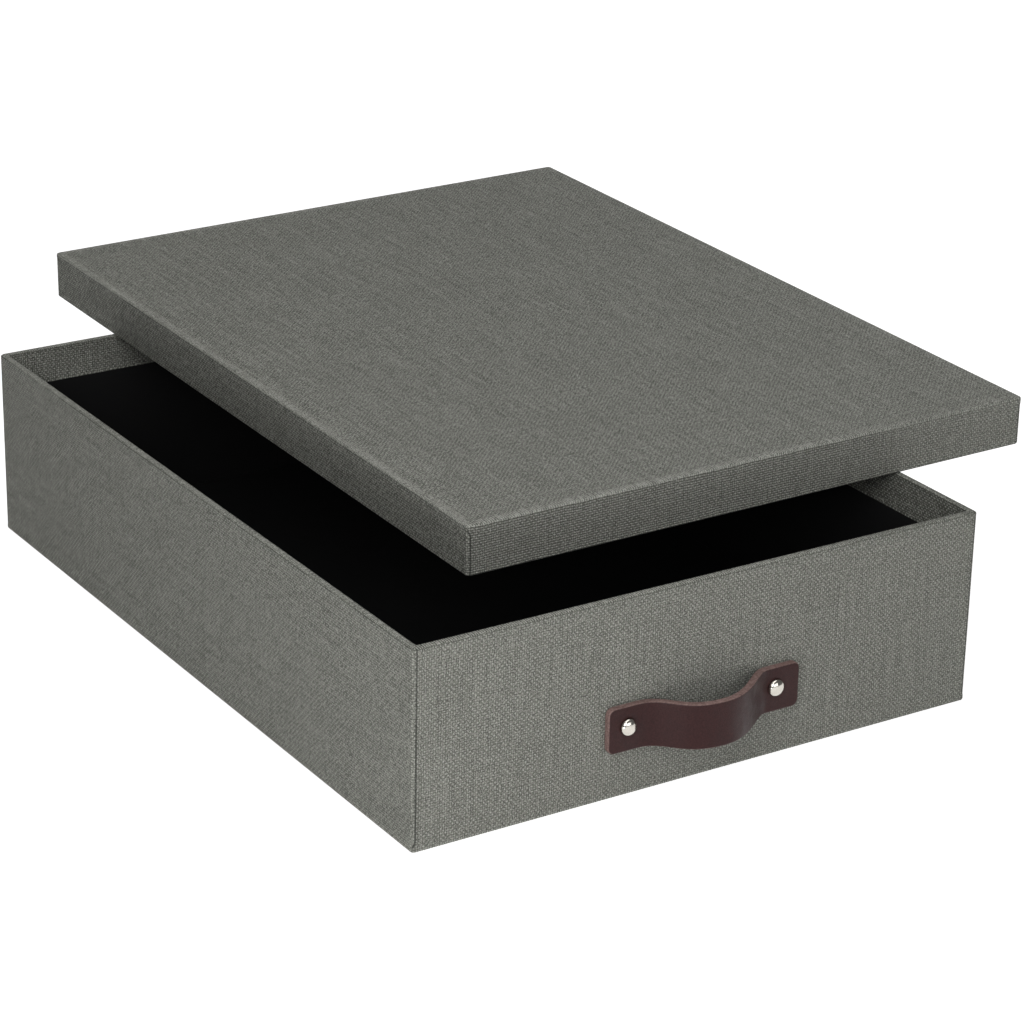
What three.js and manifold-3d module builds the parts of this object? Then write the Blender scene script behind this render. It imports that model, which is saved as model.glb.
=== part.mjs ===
// Document box: a deep tray and a shallow lift-off lid, both of board covered in linen-grained
// paper, with a riveted leather pull strap on the tray's front. The lid is off the tray and
// lies askew on its rim. Millimetres, +Z up, +Y to the back, origin under the tray's middle.

import * as THREE from "three";
import { mergeVertices } from "three/addons/utils/BufferGeometryUtils.js";
import Module from "manifold-3d";

const wasm = await Module();
wasm.setup();

// The board and the papers that both halves are made of.
const board = 2.5;
const coverPaper = 0.25;
const liningPaper = 0.25;
const wall = board + 2 * coverPaper;
const outsideBend = 0.75;
const insideBend = 0.5;
const outerCorner = 1.25;
const innerCorner = 0.5;

// The cover paper is turned in over the rim and down the inside, as far as the lining's edge.
const turnIn = 15.5;

// The end papers lie over the side papers, which are turned round the corners.
const seamFromCorner = 1.4;
const mitreTop = 4.5;
const mitreFoot = 1.25;

const tray = { width: 255, depth: 349, height: 81 };

// The lid slips over the tray with this clearance on each side.
const slip = 1;
const lid = {
  width: tray.width + 2 * (wall + slip),
  depth: tray.depth + 2 * (wall + slip),
  height: 20.5,
};

// Where the lid's middle lies from the tray's, and how many degrees it is turned and tipped.
const lie = { right: 56.75, back: 51.5, turn: -0.35, tip: 0.74 };

// The lid is clear of the rim, and its lining of its shell, by these amounts.
const lidSeat = 0.3;
const lidLiningGap = 0.3;

const strap = {
  length: 87,
  width: 18.4,
  thickness: 3,
  corner: 2.75,
  middle: -1.75,
  height: 29.1,
  leftPad: 12.65,
  rightPad: 15.15,
};

// The strap bows out between its two flat pads, with its crest right of the bow's middle. The
// foot and the crest of each slope stay level for these shares of its run.
const bow = {
  left: strap.leftPad - strap.length / 2,
  right: strap.length / 2 - strap.rightPad,
  crestRight: 0.8,
  out: 14.4,
  rise: { foot: 0.43, crest: 0.67 },
  fall: { foot: 0.18, crest: 0.48 },
};

const rivet = {
  fromBow: 4.1,
  aboveMiddle: 0.9,
  hole: 1.75,
  capRadius: 3.55,
  capEdge: 0.4,
  capHeight: 2.5,
  stem: 1.6,
  socket: 1.15,
  post: 1,
  postRadius: 3.5,
  postEdge: 0.3,
  postHeight: 1.1,
  endGap: 0.5,
};

const cornerSteps = 5;
const bendSteps = 4;
const bowSteps = 24;
const domeSteps = 7;
const circleSides = 40;

const linen = { color: 0x71746b, roughness: 0.9, metalness: 0 };
const blackPaper = { color: 0x0d0d0d, roughness: 0.95, metalness: 0 };
const leather = { color: 0x3d2f2d, roughness: 0.55, metalness: 0 };
const nickel = { color: 0xd9d6cf, roughness: 0.18, metalness: 1 };

// A closed geometry as a solid that can be cut and joined.
function solidOf(geometry) {
  const bare = geometry.clone();
  bare.deleteAttribute("normal");
  bare.deleteAttribute("uv");
  const merged = mergeVertices(bare, 1e-4);
  return new wasm.Manifold(
    new wasm.Mesh({
      numProp: 3,
      vertProperties: merged.attributes.position.array,
      triVerts: new Uint32Array(merged.index.array),
    }),
  );
}

// A named mesh of a solid, with a material of its own.
function meshOf(name, solid, look) {
  const { numProp, numVert, vertProperties, triVerts } = solid.getMesh();
  const position = new Float32Array(numVert * 3);
  for (let i = 0; i < numVert; i++) {
    position.set(vertProperties.subarray(i * numProp, i * numProp + 3), i * 3);
  }
  const geometry = new THREE.BufferGeometry();
  geometry.setAttribute("position", new THREE.BufferAttribute(position, 3));
  geometry.setIndex(new THREE.BufferAttribute(new Uint32Array(triVerts), 1));
  const flat = geometry.toNonIndexed();
  flat.computeVertexNormals();
  const mesh = new THREE.Mesh(flat, new THREE.MeshStandardMaterial(look));
  mesh.name = name;
  return mesh;
}

// A rounded rectangle at height z, drawn in from the half's outline by inset.
function level(half, inset, corner, z) {
  const x = half.width / 2 - inset - corner;
  const y = half.depth / 2 - inset - corner;
  const points = [];
  [
    [x, -y],
    [x, y],
    [-x, y],
    [-x, -y],
  ].forEach(([cx, cy], quadrant) => {
    for (let i = 0; i <= cornerSteps; i++) {
      const turn = (Math.PI / 2) * (quadrant - 1 + i / cornerSteps);
      points.push([cx + corner * Math.cos(turn), cy + corner * Math.sin(turn), z]);
    }
  });
  return points;
}

// A solid through a list of levels, from its flat foot to its flat top.
function stack(levels) {
  const count = levels[0].length;
  const top = (levels.length - 1) * count;
  const index = [];
  for (let row = 0; row < levels.length - 1; row++) {
    for (let i = 0; i < count; i++) {
      const a = row * count + i;
      const b = row * count + ((i + 1) % count);
      index.push(a, b, b + count, a, b + count, a + count);
    }
  }
  for (let i = 1; i < count - 1; i++) {
    index.push(0, i + 1, i, top, top + i, top + i + 1);
  }
  const geometry = new THREE.BufferGeometry();
  geometry.setAttribute(
    "position",
    new THREE.BufferAttribute(new Float32Array(levels.flat(2)), 3),
  );
  geometry.setIndex(index);
  return solidOf(geometry);
}

// Steps of a quarter round of radius 1, as [along, up], that starts level and ends upright.
const quarterRound = Array.from({ length: bendSteps + 1 }, (unused, i) => {
  const turn = (Math.PI / 2) * (i / bendSteps);
  return [Math.sin(turn), 1 - Math.cos(turn)];
});

// The block inside a half's outer skin, with a rounded foot and a rounded rim.
function block(half) {
  const foot = quarterRound.map(([along, up]) =>
    level(half, outsideBend * (1 - along), outerCorner, outsideBend * up),
  );
  const rim = quarterRound.map(([along, up]) =>
    level(half, outsideBend * up, outerCorner, half.height - outsideBend * (1 - along)),
  );
  return stack([...foot, ...rim]);
}

// The hollow of a half, open through its rounded mouth.
function hollow(half) {
  const mouth = quarterRound.map(([along, up]) =>
    level(half, wall - insideBend * up, innerCorner, half.height - insideBend * (1 - along)),
  );
  return stack([
    level(half, wall, innerCorner, wall),
    ...mouth,
    level(half, wall - insideBend, innerCorner, half.height + wall),
  ]);
}

// Everything that an end paper covers, seen from the front: it is mitred out to the corners
// at the folded foot.
function endPaperReach(half) {
  const x = half.width / 2;
  const side = [
    [x - seamFromCorner, half.height + wall],
    [x - seamFromCorner, mitreTop],
    [x, mitreFoot],
    [x, -wall],
  ];
  const otherSide = side.map(([px, pz]) => [-px, pz]).reverse();
  const outline = [...side, ...otherSide].map(([px, pz]) => new THREE.Vector2(px, pz));
  const reach = new THREE.ExtrudeGeometry(new THREE.Shape(outline), {
    depth: 2 * half.depth,
    bevelEnabled: false,
  });
  reach.rotateX(Math.PI / 2);
  reach.translate(0, half.depth, 0);
  return solidOf(reach);
}

// The half without its end papers. A half's depth is taken over them.
const withoutEndPapers = (half) => ({ ...half, depth: half.depth - 2 * coverPaper });

// A covered half, standing open side up.
function coveredHalf(half) {
  const bare = withoutEndPapers(half);
  const endPapers = block(half).intersect(endPaperReach(half));
  return block(bare).add(endPapers).subtract(hollow(bare));
}

// A lining sheet folded up the walls to the turned-in cover, gap clear of the shell.
function lining(half, gap) {
  const bare = withoutEndPapers(half);
  const back = wall + gap;
  const face = back + liningPaper;
  const top = half.height - turnIn;
  const sheet = stack([
    level(bare, back, innerCorner, back),
    level(bare, back, innerCorner, top),
  ]);
  const inside = stack([
    level(bare, face, innerCorner, face),
    level(bare, face, innerCorner, half.height),
  ]);
  return sheet.subtract(inside);
}

// A round piece about a line from front to back through a rivet's middle.
function turned(profile, x) {
  const points = profile.map(([radius, y]) => new THREE.Vector2(radius, y));
  const geometry = new THREE.LatheGeometry(points, circleSides);
  geometry.translate(x, 0, strap.height + rivet.aboveMiddle);
  return solidOf(geometry);
}

// A low dome's profile from its edge to its crown, standing out from a face by height.
function dome(radius, edge, height, face, side) {
  return Array.from({ length: domeSteps + 1 }, (unused, i) => {
    const turn = (Math.PI / 2) * (i / domeSteps);
    const out = edge + (height - edge) * Math.sin(turn);
    return [i === domeSteps ? 0 : radius * Math.cos(turn), face + side * out];
  });
}

const trayFront = -tray.depth / 2;
const strapFace = trayFront - strap.thickness;
const liningFace = trayFront + coverPaper + wall + liningPaper;
const rivetPlaces = {
  left: strap.middle + bow.left - rivet.fromBow,
  right: strap.middle + bow.right + rivet.fromBow,
};

// A piece with the holes for both rivets through it.
function punched(solid) {
  return Object.values(rivetPlaces).reduce((made, x) => {
    const hole = [
      [0, strapFace - wall],
      [rivet.hole, strapFace - wall],
      [rivet.hole, liningFace + wall],
      [0, liningFace + wall],
    ];
    return made.subtract(turned(hole, x));
  }, solid);
}

// A rivet's cap: a dome on the strap's face, with a hollow stem through to the lining.
function rivetCap(x) {
  return turned(
    [
      ...dome(rivet.capRadius, rivet.capEdge, rivet.capHeight, strapFace, -1).reverse(),
      [rivet.capRadius, strapFace],
      [rivet.stem, strapFace],
      [rivet.stem, liningFace],
      [rivet.socket, liningFace],
      [rivet.socket, strapFace],
      [0, strapFace],
    ],
    x,
  );
}

// A rivet's post: a shallow dome on the lining, with a pin up the cap's stem.
function rivetPost(x) {
  return turned(
    [
      [0, strapFace + rivet.endGap],
      [rivet.post, strapFace + rivet.endGap],
      [rivet.post, liningFace],
      [rivet.postRadius, liningFace],
      ...dome(rivet.postRadius, rivet.postEdge, rivet.postHeight, liningFace, 1),
    ],
    x,
  );
}

// The strap's outer face seen from above, from the strap's middle and the tray's front.
function strapCurve() {
  const pad = -strap.thickness;
  const crest = -strap.thickness - bow.out;
  const peak = (bow.left + bow.right) / 2 + bow.crestRight;
  const rise = peak - bow.left;
  const fall = bow.right - peak;
  const v = (x, y) => new THREE.Vector2(x, y);
  const path = new THREE.CurvePath();
  path.add(new THREE.LineCurve(v(-strap.length / 2, pad), v(bow.left, pad)));
  path.add(
    new THREE.CubicBezierCurve(
      v(bow.left, pad),
      v(bow.left + rise * bow.rise.foot, pad),
      v(peak - rise * bow.rise.crest, crest),
      v(peak, crest),
    ),
  );
  path.add(
    new THREE.CubicBezierCurve(
      v(peak, crest),
      v(peak + fall * bow.fall.crest, crest),
      v(bow.right - fall * bow.fall.foot, pad),
      v(bow.right, pad),
    ),
  );
  path.add(new THREE.LineCurve(v(bow.right, pad), v(strap.length / 2, pad)));
  return path;
}

// The strap's section from above: its outer face and, a thickness behind it, its back.
function strapSection() {
  const outer = [];
  const back = [];
  strapCurve().curves.forEach((curve, i) => {
    const steps = curve.isLineCurve ? 1 : bowSteps;
    for (let k = i === 0 ? 0 : 1; k <= steps; k++) {
      const p = curve.getPoint(k / steps);
      const t = curve.getTangent(k / steps);
      outer.push(p);
      back.push(new THREE.Vector2(p.x - t.y * strap.thickness, p.y + t.x * strap.thickness));
    }
  });
  return new THREE.Shape([...outer, ...back.reverse()]);
}

// The strap seen from the front, with round corners, as deep as it bows out and more.
function strapOutline() {
  const x = strap.length / 2 - strap.corner;
  const z = strap.width / 2 - strap.corner;
  const deep = 2 * (bow.out + strap.thickness);
  const shape = new THREE.Shape();
  shape.absarc(x, z, strap.corner, 0, Math.PI / 2);
  shape.absarc(-x, z, strap.corner, Math.PI / 2, Math.PI);
  shape.absarc(-x, -z, strap.corner, Math.PI, 1.5 * Math.PI);
  shape.absarc(x, -z, strap.corner, 1.5 * Math.PI, 2 * Math.PI);
  const outline = new THREE.ExtrudeGeometry(shape, {
    depth: 2 * deep,
    bevelEnabled: false,
    curveSegments: 8,
  });
  outline.rotateX(Math.PI / 2);
  outline.translate(0, deep, 0);
  return solidOf(outline);
}

function strapSolid() {
  const ribbon = new THREE.ExtrudeGeometry(strapSection(), {
    depth: strap.width,
    bevelEnabled: false,
  });
  ribbon.translate(0, 0, -strap.width / 2);
  const strip = solidOf(ribbon).intersect(strapOutline());
  return punched(strip.translate([strap.middle, trayFront, strap.height]));
}

// The tray with its lining, strap and rivets.
const trayGroup = new THREE.Group();
trayGroup.add(meshOf("tray_shell", punched(coveredHalf(tray)), linen));
trayGroup.add(meshOf("tray_lining", punched(lining(tray, 0)), blackPaper));
trayGroup.add(meshOf("handle_strap", strapSolid(), leather));
for (const [side, x] of Object.entries(rivetPlaces)) {
  trayGroup.add(meshOf(`rivet_cap_${side}`, rivetCap(x), nickel));
  trayGroup.add(meshOf(`rivet_post_${side}`, rivetPost(x), nickel));
}

// The lid, turned over onto its open side and then turned a little about the upright.
const lidGroup = new THREE.Group();
lidGroup.add(meshOf("lid_shell", coveredHalf(lid), linen));
lidGroup.add(meshOf("lid_lining", lining(lid, lidLiningGap), blackPaper));
lidGroup.rotation.set(Math.PI, 0, THREE.MathUtils.degToRad(lie.turn), "ZYX");
lidGroup.position.set(lie.right, lie.back, lid.height);

// The places where the lid's left and front walls cross the tray's back and right rims.
const leftCrossing = new THREE.Vector3(
  lie.right - lid.width / 2 + wall / 2,
  tray.depth / 2 - wall / 2,
  0,
);
const rightCrossing = new THREE.Vector3(
  tray.width / 2 - wall / 2,
  lie.back - lid.depth / 2 + wall / 2,
  0,
);

// The lid tips about the line through both crossings, just above the rim.
const tipped = new THREE.Group();
const unturned = new THREE.Group();
unturned.position.copy(leftCrossing).negate();
unturned.add(lidGroup);
tipped.add(unturned);
tipped.position.copy(leftCrossing);
tipped.position.z = tray.height + lidSeat;
tipped.quaternion.setFromAxisAngle(
  rightCrossing.clone().sub(leftCrossing).normalize(),
  THREE.MathUtils.degToRad(lie.tip),
);

const documentBox = new THREE.Group();
documentBox.add(trayGroup, tipped);
export default documentBox;
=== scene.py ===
import bpy
import math
import numpy as np
from mathutils import Matrix, Vector


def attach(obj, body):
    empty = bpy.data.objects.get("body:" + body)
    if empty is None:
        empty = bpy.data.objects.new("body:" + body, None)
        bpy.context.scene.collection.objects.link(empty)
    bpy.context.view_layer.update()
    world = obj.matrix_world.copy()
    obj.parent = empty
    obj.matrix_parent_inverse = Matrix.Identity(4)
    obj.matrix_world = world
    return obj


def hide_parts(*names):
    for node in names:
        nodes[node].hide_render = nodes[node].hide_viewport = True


# The document box dressed for its picture: linen-grained covers, black linings, a brown leather
# strap and nickel rivets. Metres, +Z up, origin under the middle of the tray.

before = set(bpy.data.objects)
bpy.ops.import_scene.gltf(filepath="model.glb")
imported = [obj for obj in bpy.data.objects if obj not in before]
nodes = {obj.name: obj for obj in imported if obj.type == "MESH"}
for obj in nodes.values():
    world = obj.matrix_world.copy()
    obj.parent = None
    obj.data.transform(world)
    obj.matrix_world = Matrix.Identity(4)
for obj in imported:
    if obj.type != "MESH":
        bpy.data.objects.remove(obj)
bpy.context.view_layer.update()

MM = 0.001

# The camera stands off the box's front-left corner and looks down on it.
CAMERA_AT = Vector((-0.6807, -1.0975, 0.5810))
CAMERA_AZIMUTH = math.radians(32.72)
CAMERA_DOWN = math.radians(22.56)
CAMERA_ROLL = math.radians(1.17)
CAMERA_LENS = 118.8
CAMERA_SENSOR = 36


def add_camera():
    data = bpy.data.cameras.new("camera")
    data.lens = CAMERA_LENS
    data.sensor_width = CAMERA_SENSOR
    camera = bpy.data.objects.new("camera", data)
    bpy.context.scene.collection.objects.link(camera)
    tilt = Matrix.Rotation(math.pi / 2 - CAMERA_DOWN, 4, "X")
    look = Matrix.Rotation(-CAMERA_AZIMUTH, 4, "Z") @ tilt
    roll = Matrix.Rotation(CAMERA_ROLL, 4, "Z")
    camera.matrix_world = Matrix.Translation(CAMERA_AT) @ look @ roll
    bpy.context.scene.camera = camera


add_camera()


# Shader sums are written as sums: a Wire is one output, and arithmetic on it adds Math nodes.
class Wire:
    def __init__(self, maker, socket):
        self.maker = maker
        self.socket = socket

    def math(self, operation, *others):
        return self.maker.node("ShaderNodeMath", {"operation": operation}, [self, *others])

    def __add__(self, other):
        return self.math("ADD", other)

    def __radd__(self, other):
        return self.math("ADD", other)

    def __sub__(self, other):
        return self.math("SUBTRACT", other)

    def __rsub__(self, other):
        return self.maker.node("ShaderNodeMath", {"operation": "SUBTRACT"}, [other, self])

    def __mul__(self, other):
        return self.math("MULTIPLY", other)

    def __rmul__(self, other):
        return self.math("MULTIPLY", other)

    def __truediv__(self, other):
        return self.math("DIVIDE", other)

    def __abs__(self):
        return self.math("ABSOLUTE")

    def sin(self):
        return self.math("SINE")

    def floor(self):
        return self.math("FLOOR")

    def least(self, other):
        return self.math("MINIMUM", other)

    def most(self, other):
        return self.math("MAXIMUM", other)

    def above(self, edge):
        return self.math("GREATER_THAN", edge)

    def power(self, exponent):
        return self.math("POWER", exponent)

    # From out_low at low to out_high at high, smoothly, and level beyond both.
    def ramp(self, low, high, out_low=0.0, out_high=1.0):
        settings = {"interpolation_type": "SMOOTHSTEP", "clamp": True}
        return self.maker.node("ShaderNodeMapRange", settings, [self, low, high, out_low, out_high])


class Maker:
    def __init__(self, name):
        self.material = bpy.data.materials.new(name)
        self.material.use_nodes = True
        self.tree = self.material.node_tree
        self.shader = self.tree.nodes["Principled BSDF"]
        coordinates = self.tree.nodes.new("ShaderNodeTexCoord")
        self.place = Wire(self, coordinates.outputs["Object"])
        self.facing = Wire(self, coordinates.outputs["Normal"])

    # A node of any type, with its settings, the values or wires of its sockets and the output used.
    def node(self, kind, settings, sockets=(), output=0):
        made = self.tree.nodes.new(kind)
        for key, value in settings.items():
            setattr(made, key, value)
        pairs = sockets.items() if isinstance(sockets, dict) else enumerate(sockets)
        for key, value in pairs:
            self.put(made.inputs[key], value)
        return Wire(self, made.outputs[output])

    def put(self, socket, value):
        if isinstance(value, Wire):
            self.tree.links.new(value.socket, socket)
        elif isinstance(value, tuple) and len(value) == 3 and socket.type == "RGBA":
            socket.default_value = (*value, 1)
        else:
            socket.default_value = value

    def set(self, **values):
        for key, value in values.items():
            self.put(self.shader.inputs[key.replace("_", " ")], value)
        return self.material

    def parts(self, vector):
        split = self.tree.nodes.new("ShaderNodeSeparateXYZ")
        self.put(split.inputs[0], vector)
        return [Wire(self, out) for out in split.outputs]

    def vector(self, x, y, z):
        return self.node("ShaderNodeCombineXYZ", {}, [x, y, z])

    def scaled(self, vector, x, y, z):
        return self.node("ShaderNodeVectorMath", {"operation": "MULTIPLY"}, [vector, (x, y, z)])

    def noise(self, vector, scale, detail, roughness=0.5):
        values = {"Vector": vector, "Scale": scale, "Detail": detail, "Roughness": roughness}
        return self.node("ShaderNodeTexNoise", {}, values)

    def mix(self, factor, first, second):
        settings = {"data_type": "RGBA", "clamp_factor": True}
        return self.node("ShaderNodeMix", settings, {0: factor, 6: first, 7: second}, output=2)

    def bump(self, height, distance, strength):
        values = {"Height": height, "Distance": distance, "Strength": strength}
        return self.node("ShaderNodeBump", {}, values)


def srgb(red, green, blue):
    def linear(value):
        value /= 255
        return value / 12.92 if value <= 0.04045 else ((value + 0.055) / 1.055) ** 2.4

    return (linear(red), linear(green), linear(blue))


ALMOST_ALONG = 0.98


# A half's own frame, read from its mesh: the way it is turned, its middle and half its size.
def half_frame(name):
    mesh = nodes[name].data
    faces = [(Vector(f.normal), f.area) for f in mesh.polygons]

    def main_normal(towards):
        near = [normal * area for normal, area in faces if normal.dot(towards) > ALMOST_ALONG]
        return sum(near, Vector()).normalized()

    up = main_normal(Vector((0, 0, 1)))
    right = main_normal(Vector((1, 0, 0)))
    back = up.cross(right).normalized()
    right = back.cross(up)
    turn = Matrix((right, back, up)).transposed()
    local = [turn.transposed() @ v.co for v in mesh.vertices]
    low = Vector([min(p[i] for p in local) for i in range(3)])
    high = Vector([max(p[i] for p in local) for i in range(3)])
    return turn, (low + high) / 2, (high - low) / 2


# Threads a millimetre apart, which wander by less than one, and how often in a metre each thing
# that is uneven in them changes. Each way a face looks has cloth from another depth of the noise.
THREAD = 1.0 * MM
WANDER = 1.1
WARP_WANDERS = 60
WEFT_WANDERS = 75
SLUBS_ACROSS = 900
SLUBS_ALONG = 30
FIBRES = 2200
SPECKS = 900
MOTTLES = 330
SIDE_CLOTH = 0.7
TOP_CLOTH = 1.9
CROSSING_LEAST = 0.3
CROSSING_VARIES = 1.1


# A plain weave of slubby threads, from how far a point lies across the warp and along it.
class Weave:
    def __init__(self, m, across, along, on_side, on_top):
        cloth = m.vector(across, along, on_side * SIDE_CLOTH + on_top * TOP_CLOTH)

        def uneven(changes_across, changes_along, detail):
            stretched = m.scaled(cloth, changes_across, changes_along, 1)
            return m.noise(stretched, scale=1.0, detail=detail) - 0.5

        u = across / THREAD + uneven(WARP_WANDERS, WARP_WANDERS, 1.0) * WANDER
        v = along / THREAD + uneven(WEFT_WANDERS, WEFT_WANDERS, 1.0) * WANDER
        warp = (u * math.pi).sin()
        weft = (v * math.pi).sin()
        over = (warp * weft).most(0.0)
        crossing = m.node("ShaderNodeTexWhiteNoise", {"noise_dimensions": "3D"},
                          {"Vector": m.vector(u.floor(), v.floor(), on_side + on_top * 2)})
        self.dot = over * over * (crossing * CROSSING_VARIES + CROSSING_LEAST)
        self.warp_line = (warp * warp).power(2.0)
        self.weft_line = (weft * weft).power(2.0)
        self.warp_slub = uneven(SLUBS_ACROSS, SLUBS_ALONG, 2.0)
        self.weft_slub = uneven(SLUBS_ALONG, SLUBS_ACROSS, 2.0)
        self.fibre = uneven(FIBRES, FIBRES, 2.0)
        self.speck = uneven(SPECKS, SPECKS, 1.0)
        self.mottle = uneven(MOTTLES, MOTTLES, 2.0)

    # The sum of its parts that are named, each times its weight.
    def blend(self, weights):
        return sum(getattr(self, part) * weight for part, weight in weights.items())


# Painted highlight: the threads that cross the fold round the large panel are painted pale this far
# over the panel, and a quarter as far down the walls. From the middle to near the right end this
# painted highlight, and the painted rows of the weft, fade to a quarter.
FOLD_HIGHLIGHT_REACH = 4.4 * MM
WALL_HIGHLIGHT_STEEPER = 4.0
HIGHLIGHT_SCATTER = 2.5 * MM
HIGHLIGHT_LINE = 0.9
HIGHLIGHT_SLUB = 1.3
PAINTED_LIGHT_FADED_AT = 0.85
PAINTED_LIGHT_AT_RIGHT = 0.25


# How much paler a point is painted where the threads that cross the fold catch the light: a painted
# highlight.
def painted_fold_highlight(weave, from_side, from_end, from_fold, on_top):
    sideways = from_end.above(from_side)
    line = weave.warp_line + (weave.weft_line - weave.warp_line) * sideways
    slub = weave.warp_slub + (weave.weft_slub - weave.warp_slub) * sideways
    down_wall = from_fold * WALL_HIGHLIGHT_STEEPER
    beside = down_wall + (from_side.least(from_end) - down_wall) * on_top
    lit_threads = (beside + (slub + weave.speck) * HIGHLIGHT_SCATTER).ramp(FOLD_HIGHLIGHT_REACH, FOLD_HIGHLIGHT_REACH / 2)
    return lit_threads * (line * HIGHLIGHT_LINE + slub * HIGHLIGHT_SLUB)


# The cut edge of the front and back papers, as the part has it: upright near each corner, and
# mitred to the corner by the fold. A painted shadow line runs along it.
SEAM_FROM_CORNER = 1.4 * MM
MITRE_TOP = 4.5 * MM
MITRE_FOOT = 1.25 * MM
MITRE_BLUR = 0.1 * MM
SEAM_CORE = 0.12 * MM
SEAM_REACH = 0.48 * MM
FAR_OFF = 10 * MM
SEAM_FACING = 0.5


# 1 on the painted shadow line along the cut edge, and 0 off it.
def seam_shadow_line(x, ny, half, from_fold):
    off_upright = abs(x) - (half.x - SEAM_FROM_CORNER)
    by_fold = from_fold.ramp(MITRE_TOP, MITRE_TOP - MITRE_BLUR)
    past_mitre = from_fold.ramp(MITRE_TOP, MITRE_TOP + MITRE_BLUR)
    run = Vector((SEAM_FROM_CORNER, MITRE_FOOT - MITRE_TOP)).normalized()
    off_mitre = abs(off_upright * run.y - (from_fold - MITRE_TOP) * run.x)
    upright_gap = abs(off_upright) + by_fold * FAR_OFF
    gap = upright_gap.least(off_mitre + past_mitre * FAR_OFF)
    return gap.ramp(SEAM_REACH, SEAM_CORE) * ny.above(SEAM_FACING)


# The cloth's light goes from dark to pale. Weights are what each part adds to its grain and its
# relief. Values in threes are for every face, and what is added on level faces and at the sides.
LINEN_DARK = srgb(76, 77, 71)
LINEN_PALE = srgb(164, 165, 157)
# The painted shadow along the cut edge of the papers.
SEAM_SHADOW_DARK = srgb(38, 40, 36)
SEAM_SHADOW_SHOWS = 0.72
GRAIN = {"fibre": 2.3, "speck": 0.6, "warp_slub": 0.4, "weft_slub": 0.15, "mottle": 0.25}
RELIEF = {"dot": 1.7, "warp_line": 0.2, "weft_line": 1.1, "fibre": 0.8, "speck": 0.3,
          "warp_slub": 0.3, "weft_slub": 0.3}
ROW_RELIEF = 2.0
RELIEF_DEPTH = 0.12 * MM
DOT_LIGHT = 0.8
WEFT_LIGHT = 0.05
WARP_LIGHT = (0.1, 0.06, 0.1)
GRAIN_LIGHT = (1, 0.6, -0.1)
# Painted shading of the relief: the pattern's contrast is raised on top, on the front and back,
# along the painted weft rows and inside.
TOP_CONTRAST = 0.45
END_CONTRAST = 0.08
ROW_CONTRAST = 0.6
INSIDE_CONTRAST = 0.6
MEAN_THREAD = 0.24
MEAN_ROWS = 0.38
MEAN_SIDE = 0.04
MEAN_LIGHT = 0.48
# Painted shade in a band along the open rim, and on the turned-in walls inside.
RIM_BAND = 1.2 * MM
RIM_SHADE = 0.15
INSIDE_SHADE = 0.03
INSIDE_SIDE_SHADE = 0.13
LINEN_ROUGHNESS = (0.93, 0.82)
WALL = 3 * MM
FACING = 0.7


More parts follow.
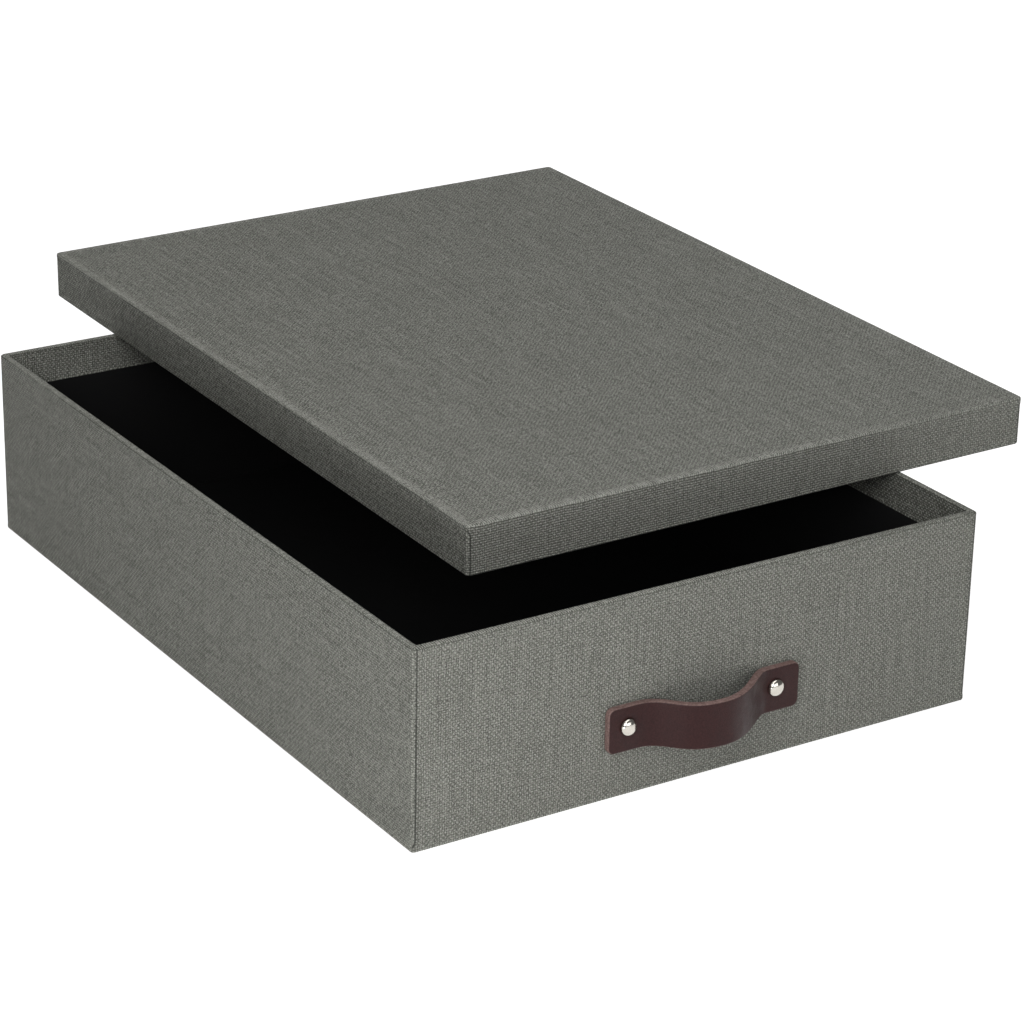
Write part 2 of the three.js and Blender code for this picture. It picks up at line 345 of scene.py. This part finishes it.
# Linen-grained paper. The warp runs from front to back over the top and the sides, and upright on
# the front and back. The fold is at the top of a half for -1 and at its foot for 1, and the last
# argument sets how strongly the weft's rows are painted as lit and shaded relief on the front and
# back, and how much more contrast is painted into the pattern on the sides.
def linen(name, node, folded_edge, painted_relief):
    m = Maker(name)
    turn, middle, half = half_frame(node)
    euler = turn.transposed().to_euler()
    turned = m.node("ShaderNodeMapping", {"vector_type": "POINT"},
                    {"Vector": m.place, "Location": -middle, "Rotation": euler})
    x, y, z = m.parts(turned)
    nx, ny, nz = (abs(n) for n in m.parts(m.facing))
    on_side, on_end, on_top = (n.above(FACING) for n in (nx, ny, nz))

    def by_face(every, top, side):
        return on_top * top + on_side * side + every

    across = x + (z - x) * on_side
    along = z + (y - z) * on_top.most(on_side)
    weave = Weave(m, across, along, on_side, on_top)
    from_side = half.x - abs(x)
    from_end = half.y - abs(y)
    from_fold = half.z + z * folded_edge
    inside = from_side.least(from_end).above(WALL / 2) * (1 - on_top)
    rim = (half.z * 2 - from_fold).ramp(RIM_BAND, RIM_BAND / 2)
    # Painted light: the painted fold highlight and the painted weft rows fade from the middle
    # towards the right end.
    painted_light_fade = x.ramp(half.x * PAINTED_LIGHT_FADED_AT, 0.0, PAINTED_LIGHT_AT_RIGHT, 1.0)

    # Painted shading of the relief: the rows of the weft are painted to stand out on the front and
    # back, and the warp on top. Inside, where the cover is turned in, the weave has painted shade
    # and is painted with more contrast.
    row_relief_and_shade = painted_light_fade * on_end * painted_relief
    weft_rows_relief_and_shade = weave.weft_line * row_relief_and_shade
    warp_light = weave.warp_line * by_face(*WARP_LIGHT)
    thread = weave.dot * DOT_LIGHT + warp_light + weave.weft_line * WEFT_LIGHT + weft_rows_relief_and_shade
    mean = row_relief_and_shade * MEAN_ROWS + on_side * MEAN_SIDE + MEAN_THREAD
    even = thread + weave.blend(GRAIN) * by_face(*GRAIN_LIGHT) - mean
    stronger = on_end * END_CONTRAST + row_relief_and_shade * ROW_CONTRAST + inside * INSIDE_CONTRAST
    contrast = by_face(1, TOP_CONTRAST, painted_relief) + stronger
    # Painted highlight on the threads that cross the fold.
    fold_highlight = painted_fold_highlight(weave, from_side, from_end, from_fold, on_top) * painted_light_fade
    # Painted shade: darker in the band at the rim, and on the turned-in walls inside, most on those
    # facing the sides.
    shade = rim * RIM_SHADE + inside * (nx * INSIDE_SIDE_SHADE + INSIDE_SHADE)
    light = even * contrast + fold_highlight - shade + MEAN_LIGHT

    tone = m.mix(light, LINEN_DARK, LINEN_PALE)
    # A painted shadow darkens the hairline along the cut edge of the papers.
    seam_shadow = seam_shadow_line(x, ny, half, from_fold)
    relief = weave.blend(RELIEF) + weft_rows_relief_and_shade * ROW_RELIEF
    return m.set(
        Base_Color=m.mix(seam_shadow * SEAM_SHADOW_SHOWS, tone, SEAM_SHADOW_DARK),
        Roughness=light.ramp(0.0, 1.0, *LINEN_ROUGHNESS),
        Normal=m.bump(relief, RELIEF_DEPTH, strength=0.9),
        Specular_IOR_Level=0.35,
    )


PAPER_BLACK = srgb(7, 7, 8)
PAPER_GREY = srgb(17, 17, 18)


# Matt black paper with a fine tooth.
def black_paper(name):
    m = Maker(name)
    tooth = m.noise(m.place, scale=2600, detail=3.0, roughness=0.6)
    cloud = m.noise(m.place, scale=35, detail=2.0)
    return m.set(
        Base_Color=m.mix(tooth * 0.6 + cloud * 0.4, PAPER_BLACK, PAPER_GREY),
        Roughness=cloud.ramp(0.3, 0.7, 0.88, 0.96),
        Normal=m.bump(tooth, 0.03 * MM, strength=0.6),
        Specular_IOR_Level=0.25,
    )


LEATHER_DARK = srgb(31, 11, 12)
LEATHER_PALE = srgb(56, 28, 27)
CUT_DARK = srgb(92, 72, 69)
CUT_PALE = srgb(136, 113, 108)
CREASE_DARK = srgb(24, 14, 14)


# Brown leather with a satin face, paler and fibrous where it is cut, and dark where the two meet.
def brown_leather(name):
    m = Maker(name)
    is_cut = m.node("ShaderNodeAttribute", {"attribute_name": "cut"}, output=2)
    pores = m.node("ShaderNodeTexVoronoi", {"feature": "DISTANCE_TO_EDGE"},
                   {"Vector": m.place, "Scale": 1900.0})
    cloud = m.noise(m.place, scale=60, detail=3.0)
    patches = m.noise(m.place, scale=240, detail=2.0)
    fine = m.noise(m.place, scale=1500, detail=3.0, roughness=0.6)
    fibre = m.noise(m.scaled(m.place, 1100, 1500, 1500), scale=1.0, detail=3.0, roughness=0.6)
    tanning = cloud * 0.3 + patches * 0.2 + fine.ramp(0.3, 0.7) * 0.5
    face = m.mix(tanning, LEATHER_DARK, LEATHER_PALE)
    cut = m.mix(fibre.ramp(0.25, 0.75), CUT_DARK, CUT_PALE)
    crease = is_cut.ramp(0.05, 0.35) * is_cut.ramp(0.75, 0.4)
    height = pores.ramp(0.0, 0.3) * (1 - is_cut) + fibre * is_cut * 3.0 + fine * 0.5
    return m.set(
        Base_Color=m.mix(crease * 0.7, m.mix(is_cut, face, cut), CREASE_DARK),
        Roughness=is_cut * 0.3 + patches.ramp(0.3, 0.7, 0.4, 0.5),
        Normal=m.bump(height, 0.035 * MM, strength=0.5),
        Specular_IOR_Level=0.2,
    )


NICKEL_BRIGHT = srgb(212, 207, 198)
NICKEL_HAZY = srgb(190, 186, 178)


# Polished nickel plate, faintly brushed by handling.
def polished_nickel(name):
    m = Maker(name)
    haze = m.noise(m.place, scale=420, detail=3.0)
    return m.set(
        Base_Color=m.mix(haze, NICKEL_BRIGHT, NICKEL_HAZY),
        Metallic=1.0,
        Roughness=haze.ramp(0.3, 0.7, 0.14, 0.22),
        Normal=m.bump(haze, 0.01 * MM, strength=0.3),
    )


WELD_WITHIN = 0.002 * MM


# Loose CAD triangles are joined for show, so that their round stretches shade smoothly.
def dress(name, material, smooth=True):
    node = nodes[name]
    node.data.materials.clear()
    node.data.materials.append(material)
    if smooth:
        weld = node.modifiers.new("weld", "WELD")
        weld.merge_threshold = WELD_WITHIN
        even = node.modifiers.new("even", "WEIGHTED_NORMAL")
        even.weight = 100
        even.keep_sharp = True
        bpy.ops.object.select_all(action="DESELECT")
        node.select_set(True)
        bpy.context.view_layer.objects.active = node
        bpy.ops.object.shade_smooth()


dress("tray_shell", linen("tray_linen", "tray_shell", folded_edge=1, painted_relief=0.06))
dress("lid_shell", linen("lid_linen", "lid_shell", folded_edge=-1, painted_relief=0.4))
lining_paper = black_paper("black_paper")
dress("tray_lining", lining_paper, smooth=False)
dress("lid_lining", lining_paper, smooth=False)
nickel = polished_nickel("polished_nickel")
for side in ("left", "right"):
    dress(f"rivet_cap_{side}", nickel)
    dress(f"rivet_post_{side}", nickel)


# The pull strap, as the part has it: seen from the front it is a plain strip with round corners,
# and from above it lies flat at both ends and bows out between them.
STRAP_LENGTH = 87 * MM
STRAP_WIDTH = 18.4 * MM
STRAP_THICKNESS = 3 * MM
STRAP_CORNER = 2.75 * MM
STRAP_MIDDLE = -1.75 * MM
STRAP_HEIGHT = 29.1 * MM
STRAP_BACK = -174.5 * MM
STRAP_FRONT = STRAP_BACK - STRAP_THICKNESS
LEFT_PAD = 12.65 * MM
RIGHT_PAD = 15.15 * MM
BOW_LEFT = LEFT_PAD - STRAP_LENGTH / 2
BOW_RIGHT = STRAP_LENGTH / 2 - RIGHT_PAD
BOW_OUT = 14.4 * MM
BOW_POINTS = 400
CREST_RIGHT = 0.8 * MM
RISE_SHARES = (0.43, 0.67)
FALL_SHARES = (0.18, 0.48)

# Its edges are soft, it is cut into small squares so that it bends smoothly, and its rim is bare.
STRAP_SOFT_EDGE = 0.5 * MM
STRAP_CUTS = 1.1 * MM
STRAP_SMOOTH_BELOW = math.radians(40)
CUT_EDGE_REACH = 0.4 * MM
CUT_EDGE_START = 1.25

# The rivets press the leather down, and it swells a little round them.
RIVET_FROM_BOW = 4.1 * MM
RIVETS_AT = (STRAP_MIDDLE + BOW_LEFT - RIVET_FROM_BOW, STRAP_MIDDLE + BOW_RIGHT + RIVET_FROM_BOW)
RIVET_HEIGHT = STRAP_HEIGHT + 0.9 * MM
RIVET_HOLE = 1.75 * MM
RIVET_CAP = 3.55 * MM
SWELL = 0.22 * MM
SWELL_RISE = 1.4 * MM
SWELL_FALL = 1.3 * MM


# Points on the strap's outer face from above: its distance out from the flat ends at each x.
def strap_line():
    peak = (BOW_LEFT + BOW_RIGHT) / 2 + CREST_RIGHT
    rise = peak - BOW_LEFT
    fall = BOW_RIGHT - peak
    t = np.linspace(0, 1, BOW_POINTS)

    def bezier(a, b, c, d):
        return a * (1 - t) ** 3 + 3 * b * t * (1 - t) ** 2 + 3 * c * t ** 2 * (1 - t) + d * t ** 3

    up_x = bezier(BOW_LEFT, BOW_LEFT + rise * RISE_SHARES[0], peak - rise * RISE_SHARES[1], peak)
    down_x = bezier(peak, peak + fall * FALL_SHARES[1], BOW_RIGHT - fall * FALL_SHARES[0], BOW_RIGHT)
    up_out = bezier(0, 0, BOW_OUT, BOW_OUT)
    down_out = bezier(BOW_OUT, BOW_OUT, 0, 0)
    x = np.concatenate([[-STRAP_LENGTH], up_x, down_x[1:], [STRAP_LENGTH]])
    out = np.concatenate([[0], up_out, down_out[1:], [0]])
    return x, out


def select_edges(mesh, wanted):
    bpy.ops.object.mode_set(mode="OBJECT")
    for part in (mesh.polygons, mesh.vertices, mesh.edges):
        part.foreach_set("select", [False] * len(part))
    for edge in mesh.edges:
        a, b = (mesh.vertices[i].co for i in edge.vertices)
        edge.select = wanted(a, b)
    bpy.ops.object.mode_set(mode="EDIT")


# Equal cuts square to one way, right through the mesh that is being edited.
def cut_across(way, centre, size):
    count = int(size / STRAP_CUTS)
    for i in range(1, count):
        at = way * (centre + size * (i / count - 0.5))
        bpy.ops.mesh.select_all(action="SELECT")
        bpy.ops.mesh.bisect(plane_co=at, plane_no=way)


# The strap before it is bent: its corners are rounded first, and then the edges of both faces.
def add_flat_strap():
    bpy.ops.object.select_all(action="DESELECT")
    middle = (STRAP_MIDDLE, STRAP_BACK - STRAP_THICKNESS / 2, STRAP_HEIGHT)
    bpy.ops.mesh.primitive_cube_add(size=1, location=middle,
                                    scale=(STRAP_LENGTH, STRAP_THICKNESS, STRAP_WIDTH))
    strap = bpy.context.object
    strap.name = "strap"
    strap.data.name = "strap"
    bpy.ops.object.transform_apply(location=True, rotation=True, scale=True)
    bpy.ops.object.mode_set(mode="EDIT")
    bpy.ops.mesh.select_mode(type="EDGE")
    select_edges(strap.data, lambda a, b: abs(a.y - b.y) > STRAP_THICKNESS / 2)
    bpy.ops.mesh.bevel(offset=STRAP_CORNER, segments=8, affect="EDGES")
    select_edges(strap.data, lambda a, b: abs(a.y - b.y) < STRAP_THICKNESS / 2)
    bpy.ops.mesh.bevel(offset=STRAP_SOFT_EDGE, segments=3, affect="EDGES")
    cut_across(Vector((1, 0, 0)), STRAP_MIDDLE, STRAP_LENGTH)
    cut_across(Vector((0, 0, 1)), STRAP_HEIGHT, STRAP_WIDTH)
    bpy.ops.object.mode_set(mode="OBJECT")
    return strap


def punch_hole(strap, x):
    bpy.ops.object.select_all(action="DESELECT")
    middle = (x, STRAP_BACK - STRAP_THICKNESS / 2, RIVET_HEIGHT)
    bpy.ops.mesh.primitive_cylinder_add(vertices=32, radius=RIVET_HOLE, depth=4 * STRAP_THICKNESS,
                                        location=middle, rotation=(math.pi / 2, 0, 0))
    punch = bpy.context.object
    bpy.ops.object.select_all(action="DESELECT")
    strap.select_set(True)
    bpy.context.view_layer.objects.active = strap
    hole = strap.modifiers.new("hole", "BOOLEAN")
    hole.operation = "DIFFERENCE"
    hole.solver = "EXACT"
    hole.object = punch
    bpy.ops.object.modifier_apply(modifier="hole")
    bpy.data.objects.remove(punch)


# How far each point is cut edge: 0 on the faces and 1 on the rim.
def mark_cut_edge(mesh, x, z):
    off_x = np.abs(x - STRAP_MIDDLE) - (STRAP_LENGTH / 2 - STRAP_CORNER)
    off_z = np.abs(z - STRAP_HEIGHT) - (STRAP_WIDTH / 2 - STRAP_CORNER)
    in_corner = (off_x > 0) & (off_z > 0)
    rim = np.where(in_corner, np.hypot(off_x, off_z), np.maximum(off_x, off_z)) - STRAP_CORNER
    cut = np.clip(CUT_EDGE_START + rim / CUT_EDGE_REACH, 0, 1)
    shade = mesh.attributes.new("cut", "FLOAT", "POINT")
    shade.data.foreach_set("value", cut.astype(np.float32))


# How far the strap's front stands out round the rivets.
def swelling(x, z):
    share = np.zeros(len(x))
    for rivet_x in RIVETS_AT:
        away = np.hypot(x - rivet_x, z - RIVET_HEIGHT) - RIVET_CAP
        past_crest = np.maximum(away - SWELL_RISE, 0)
        share += np.clip(away / SWELL_RISE, 0, 1) * np.exp(-past_crest / SWELL_FALL)
    return share * SWELL


# Each point goes as deep behind the strap's line, and square to it, as it lay behind the front.
def bend(x, depth):
    line_x, line_out = strap_line()
    local_x = x - STRAP_MIDDLE
    out = np.interp(local_x, line_x, line_out)
    lean = np.interp(local_x, line_x, np.gradient(line_out, line_x))
    length = np.sqrt(1 + lean ** 2)
    return x + depth * lean / length, STRAP_FRONT - out + depth / length


def add_strap():
    strap = add_flat_strap()
    for x in RIVETS_AT:
        punch_hole(strap, x)
    mesh = strap.data
    place = np.empty(len(mesh.vertices) * 3)
    mesh.vertices.foreach_get("co", place)
    x, y, z = place.reshape(-1, 3).T
    mark_cut_edge(mesh, x, z)
    depth = y - STRAP_FRONT
    front = np.clip(1 - depth / (STRAP_THICKNESS / 2), 0, 1)
    bent_x, bent_y = bend(x, depth - swelling(x, z) * front)
    mesh.vertices.foreach_set("co", np.stack([bent_x, bent_y, z], axis=1).ravel())
    mesh.update()
    bpy.ops.object.shade_smooth_by_angle(angle=STRAP_SMOOTH_BELOW)
    mesh.materials.append(brown_leather("brown_leather"))
    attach(strap, "tray")
    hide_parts("handle_strap")


add_strap()

# The floor's own light is full white from GLOW_FULL_AT on, and a little less near the box.
FLOOR_SIZE = 40
FLOOR_UNDER = 0.2 * MM
FLOOR_COLOUR = (0.97, 0.97, 0.97)
FLOOR_SHADE = (0.45, 0.45, 0.45)
GLOW_BY_BOX = 0.88
GLOW_RISES_AT = 0.7
GLOW_FULL_AT = 1.5


# A pale floor that the camera and polished metal see as white, with the box's soft shadow.
def add_floor():
    bpy.ops.object.select_all(action="DESELECT")
    bpy.ops.mesh.primitive_plane_add(size=FLOOR_SIZE, location=(0, 0, -FLOOR_UNDER))
    floor = bpy.context.object
    floor.name = "floor"
    m = Maker("floor_white")
    m.set(Base_Color=FLOOR_COLOUR, Roughness=0.9)
    ray = m.tree.nodes.new("ShaderNodeLightPath")
    seen = Wire(m, ray.outputs["Is Camera Ray"]).most(Wire(m, ray.outputs["Is Glossy Ray"]))
    away = m.node("ShaderNodeVectorMath", {"operation": "LENGTH"}, [m.place], output=1)
    strength = away.ramp(GLOW_RISES_AT, GLOW_FULL_AT) * (1 - GLOW_BY_BOX) + GLOW_BY_BOX
    glow = m.node("ShaderNodeEmission", {}, {"Color": (1, 1, 1), "Strength": strength})
    shade = m.node("ShaderNodeBsdfDiffuse", {}, {"Color": FLOOR_SHADE})
    both = m.node("ShaderNodeAddShader", {}, [glow, shade])
    plain = Wire(m, m.shader.outputs[0])
    whole = m.node("ShaderNodeMixShader", {}, [seen, plain, both])
    m.tree.links.new(whole.socket, m.tree.nodes["Material Output"].inputs["Surface"])
    floor.data.materials.append(m.material)


WORLD_LIGHT = 0.02
WORLD_SEEN_BY_METAL = 0.14


# A world that is white to the camera, dim in polished metal and all but dark as light.
def add_world():
    world = bpy.data.worlds.new("studio")
    bpy.context.scene.world = world
    world.use_nodes = True
    tree = world.node_tree
    ray = tree.nodes.new("ShaderNodeLightPath")
    mix = tree.nodes.new("ShaderNodeMixShader")
    dim = tree.nodes.new("ShaderNodeMath")
    dim.operation = "MULTIPLY_ADD"
    dim.inputs[1].default_value = WORLD_SEEN_BY_METAL - WORLD_LIGHT
    dim.inputs[2].default_value = WORLD_LIGHT
    tree.links.new(ray.outputs["Is Glossy Ray"], dim.inputs[0])
    room = tree.nodes["Background"]
    room.inputs["Color"].default_value = (1, 1, 1, 1)
    tree.links.new(dim.outputs[0], room.inputs["Strength"])
    white = tree.nodes.new("ShaderNodeBackground")
    white.inputs["Color"].default_value = (1, 1, 1, 1)
    white.inputs["Strength"].default_value = 1.0
    tree.links.new(ray.outputs["Is Camera Ray"], mix.inputs[0])
    tree.links.new(room.outputs[0], mix.inputs[1])
    tree.links.new(white.outputs[0], mix.inputs[2])
    tree.links.new(mix.outputs[0], tree.nodes["World Output"].inputs["Surface"])


# Each lamp's place, what it is aimed at, its width and height, and its power.
LAMPS = {
    "key": ((-0.72, -0.75, 0.66), (-0.1, -0.12, 0.02), (0.7, 0.7), 6.1),
    "front": ((0, -1.3, 0.45), (-0.1, 0, 0.03), (1, 0.6), 4.3),
    "card": ((-0.36, -0.38, 0.008), (-0.1275, -0.1745, 0.008), (0.14, 0.01), 0.27),
    "top": ((-0.2, -0.1, 2.4), (0, 0, 0), (2, 2), 29.5),
    "back": ((1.4, 1.2, 0.32), (0.1, 0, 0.05), (1.2, 0.4), 7.5),
}


def add_lamp(name, at, aim, size, power):
    data = bpy.data.lights.new(name, "AREA")
    data.shape = "RECTANGLE"
    data.size, data.size_y = size
    data.energy = power
    lamp = bpy.data.objects.new(name, data)
    lamp.visible_camera = False
    bpy.context.scene.collection.objects.link(lamp)
    lamp.location = at
    lamp.rotation_euler = (Vector(aim) - Vector(at)).to_track_quat("-Z", "Y").to_euler()


add_floor()
add_world()
for name, values in LAMPS.items():
    add_lamp(name, *values)

bpy.context.scene.view_settings.view_transform = "Standard"
